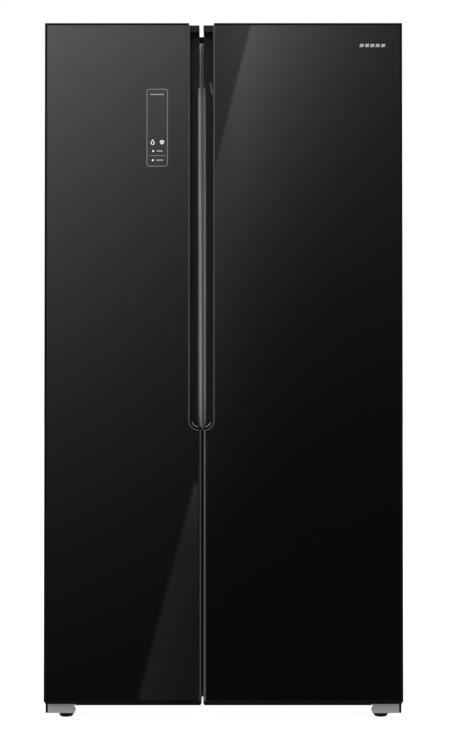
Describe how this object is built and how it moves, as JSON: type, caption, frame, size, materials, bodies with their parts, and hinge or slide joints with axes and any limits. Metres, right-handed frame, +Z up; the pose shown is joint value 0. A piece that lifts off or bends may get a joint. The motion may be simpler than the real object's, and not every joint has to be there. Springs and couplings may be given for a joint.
{
  "type": "side by side refrigerator",
  "caption": "Tall free-standing refrigerator with black glass side by side doors, a recessed grip between them, inner shelves, drawers, door bins and an ice maker",
  "frame": {"origin": "centre of the footprint's bounding box, on the floor under the feet and rollers", "axes": "+Z up, doors face -Y, +X to the right seen from the front"},
  "size_m": [0.91, 0.643, 1.786],
  "materials": {
    "door_glass": "gloss black toned glass, opaque",
    "black_plastic": "satin",
    "panel_glass": "gloss",
    "badge_metal": "brushed",
    "cabinet_steel": "satin dark paint",
    "frame_steel": "satin grey paint",
    "zinc_steel": "zinc plated",
    "foam": "rigid foam",
    "white_plastic": "satin",
    "clear_plastic": "clear",
    "shelf_glass": "clear toughened glass",
    "gasket": "soft",
    "foot_rubber": "matte",
    "alloy": "bare",
    "compressor_paint": "gloss black paint"
  },
  "bodies": {
    "cabinet": {"top_front_trim": "black_plastic", "hinge_cover_left": "black_plastic", "hinge_cover_right": "black_plastic", "evaporator_fan_motor": "black_plastic", "condenser_fan_motor": "black_plastic", "drip_pan": "black_plastic", "rear_cover": "black_plastic", "cord_gland": "black_plastic", "side_panel_left": "cabinet_steel", "side_panel_right": "cabinet_steel", "top_panel": "cabinet_steel", "front_frame": "frame_steel", "rear_panel": "zinc_steel", "base_plate": "zinc_steel", "foot_bracket_left": "zinc_steel", "foot_bracket_right": "zinc_steel", "hinge_bracket_left": "zinc_steel", "hinge_bracket_right": "zinc_steel", "insulation": "foam", "freezer_liner": "white_plastic", "fridge_liner": "white_plastic", "evaporator_cover": "white_plastic", "fridge_air_duct": "white_plastic", "fridge_light": "white_plastic", "ice_tray_frame": "white_plastic", "freezer_shelf_lower": "shelf_glass", "freezer_shelf_middle": "shelf_glass", "freezer_shelf_upper": "shelf_glass", "fridge_shelf_divider": "shelf_glass", "crisper_cover": "shelf_glass", "fridge_shelf_lower": "shelf_glass", "fridge_shelf_upper": "shelf_glass", "evaporator": "alloy", "condenser": "alloy", "compressor": "compressor_paint"},
    "freezer_door": {"freezer_door_glass": "door_glass", "freezer_door_body": "black_plastic", "freezer_door_liner": "white_plastic", "freezer_door_gasket": "gasket", "freezer_door_bins": "clear_plastic", "touch_panel": "panel_glass"},
    "fridge_door": {"fridge_door_glass": "door_glass", "fridge_door_body": "black_plastic", "fridge_door_liner": "white_plastic", "fridge_door_gasket": "gasket", "fridge_door_bins": "clear_plastic", "badge": "badge_metal"},
    "dairy_flap": {"dairy_lid": "clear_plastic"},
    "freezer_drawer_top": {"freezer_drawer_upper": "clear_plastic"},
    "freezer_drawer_bottom": {"freezer_drawer_lower": "clear_plastic"},
    "crisper_top": {"crisper_drawer_upper": "clear_plastic"},
    "crisper_bottom": {"crisper_drawer_lower": "clear_plastic"},
    "humidity_control": {"humidity_slider": "white_plastic"},
    "ice_twist_tray": {"ice_tray": "white_plastic"},
    "evaporator_impeller": {"evaporator_fan": "black_plastic"},
    "condenser_impeller": {"condenser_fan": "black_plastic"},
    "foot_left": {"levelling_foot_left": "foot_rubber"},
    "foot_right": {"levelling_foot_right": "foot_rubber"},
    "roller_left": {"rear_roller_left": "foot_rubber"},
    "roller_right": {"rear_roller_right": "foot_rubber"}
  },
  "joints": [
    {"name": "freezer_door_hinge", "type": "hinge", "parent": "cabinet", "child": "freezer_door", "pos_m": [-0.437, -0.2886, 0.9], "axis": [0, 0, -1], "range_deg": [0, 120]},
    {"name": "fridge_door_hinge", "type": "hinge", "parent": "cabinet", "child": "fridge_door", "pos_m": [0.437, -0.2886, 0.9], "axis": [0, 0, 1], "range_deg": [0, 120]},
    {"name": "freezer_drawer_upper_slide", "type": "slide", "parent": "cabinet", "child": "freezer_drawer_top", "axis": [0, -1, 0], "range_m": [0, 0.18]},
    {"name": "freezer_drawer_lower_slide", "type": "slide", "parent": "cabinet", "child": "freezer_drawer_bottom", "axis": [0, -1, 0], "range_m": [0, 0.18]},
    {"name": "crisper_drawer_upper_slide", "type": "slide", "parent": "cabinet", "child": "crisper_top", "axis": [0, -1, 0], "range_m": [0, 0.18]},
    {"name": "crisper_drawer_lower_slide", "type": "slide", "parent": "cabinet", "child": "crisper_bottom", "axis": [0, -1, 0], "range_m": [0, 0.18]},
    {"name": "dairy_lid_hinge", "type": "hinge", "parent": "fridge_door", "child": "dairy_flap", "pos_m": [0.2, -0.2556, 1.36237], "axis": [1, 0, 0], "range_deg": [0, 85]},
    {"name": "humidity_slider_slide", "type": "slide", "parent": "cabinet", "child": "humidity_control", "axis": [1, 0, 0], "range_m": [0, 0.03]},
    {"name": "ice_tray_twist", "type": "hinge", "parent": "cabinet", "child": "ice_twist_tray", "pos_m": [-0.24216, -0.1276, 1.56451], "axis": [0, 1, 0], "range_deg": [0, 150], "stiffness_Nm_per_rad": 0.3},
    {"name": "evaporator_fan_spin", "type": "hinge", "parent": "cabinet", "child": "evaporator_impeller", "pos_m": [-0.24216, 0.1962, 1.20885], "axis": [0, 1, 0], "continuous": true},
    {"name": "condenser_fan_spin", "type": "hinge", "parent": "cabinet", "child": "condenser_impeller", "pos_m": [-0.09, 0.2112, 0.13], "axis": [1, 0, 0], "continuous": true},
    {"name": "levelling_foot_left_screw", "type": "hinge", "parent": "cabinet", "child": "foot_left", "pos_m": [-0.404, -0.262, 0], "axis": [0, 0, 1], "continuous": true},
    {"name": "levelling_foot_right_screw", "type": "hinge", "parent": "cabinet", "child": "foot_right", "pos_m": [0.404, -0.262, 0], "axis": [0, 0, 1], "continuous": true},
    {"name": "rear_roller_left_spin", "type": "hinge", "parent": "cabinet", "child": "roller_left", "pos_m": [-0.4, 0.2622, 0.02], "axis": [1, 0, 0], "continuous": true},
    {"name": "rear_roller_right_spin", "type": "hinge", "parent": "cabinet", "child": "roller_right", "pos_m": [0.4, 0.2622, 0.02], "axis": [1, 0, 0], "continuous": true}
  ],
  "couplings": [
    {"joint": "freezer_drawer_upper_slide", "follows": "freezer_door_hinge", "m_per_rad": 0.0859},
    {"joint": "freezer_drawer_lower_slide", "follows": "freezer_door_hinge", "m_per_rad": 0.0859},
    {"joint": "crisper_drawer_upper_slide", "follows": "fridge_door_hinge", "m_per_rad": 0.0859},
    {"joint": "crisper_drawer_lower_slide", "follows": "fridge_door_hinge", "m_per_rad": 0.0859}
  ]
}
